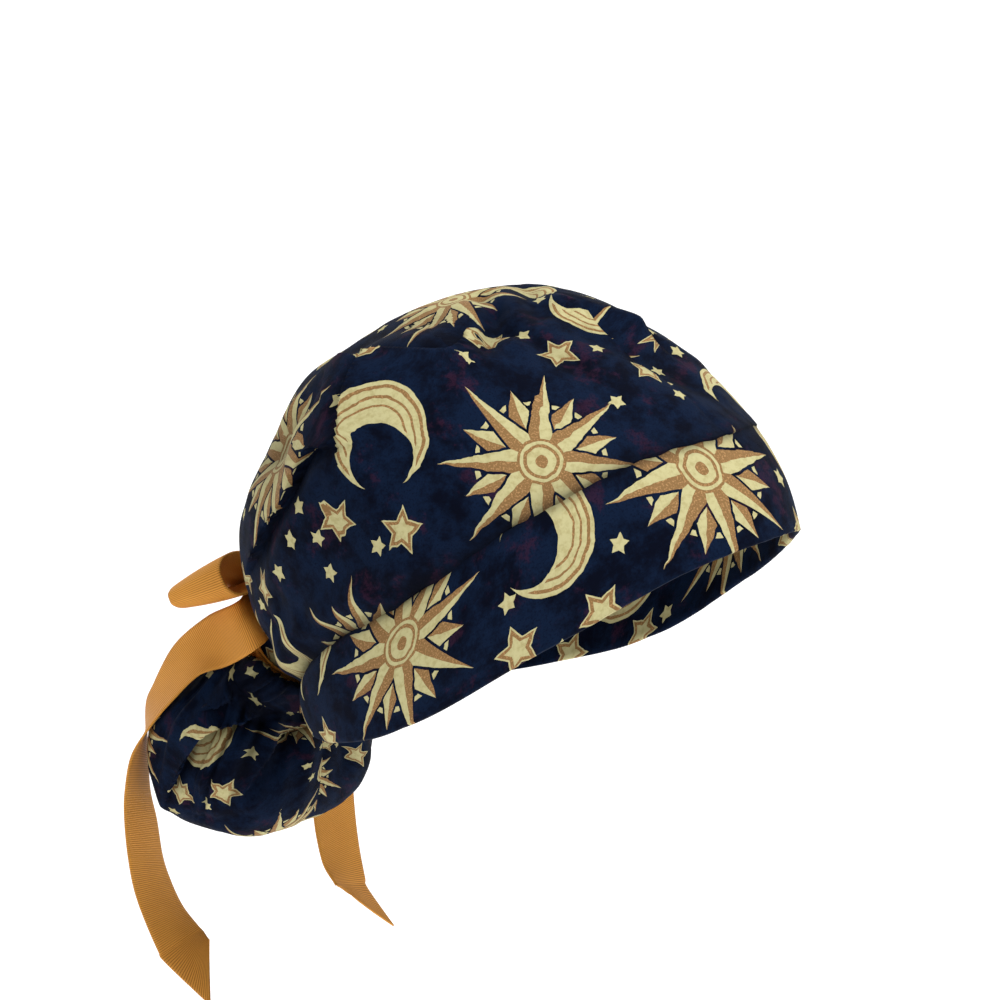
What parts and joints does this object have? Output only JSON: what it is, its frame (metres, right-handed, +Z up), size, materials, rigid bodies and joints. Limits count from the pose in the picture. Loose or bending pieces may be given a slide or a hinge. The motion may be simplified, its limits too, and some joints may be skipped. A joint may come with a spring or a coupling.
{
  "type": "scrub cap",
  "caption": "Ponytail scrub cap: a puffed printed cotton crown on a fitted band, with a hair pouch tied off by a ribbon bow at the back.",
  "frame": {"origin": "The middle of the wearer's head at the height where a hat sits, which is the mount head_seat. The cap lies round it as it does when worn.", "axes": "+Z is up, the wearer faces -Y and +X is the wearer's left. With the ties hanging, +Z is the longest extent and +X the shortest."},
  "size_m": [0.1636, 0.2515, 0.2648],
  "materials": {
    "printed_cotton": "matte",
    "ribbon": "satin"
  },
  "bodies": {
    "root": {"crown": "printed_cotton", "front_band": "printed_cotton", "ponytail_pouch": "printed_cotton", "tie_collar": "ribbon", "bow_knot": "ribbon", "bow_loop_right": "ribbon", "bow_loop_left": "ribbon", "bow_tail_right": "ribbon", "bow_tail_left": "ribbon"}
  },
  "joints": []
}
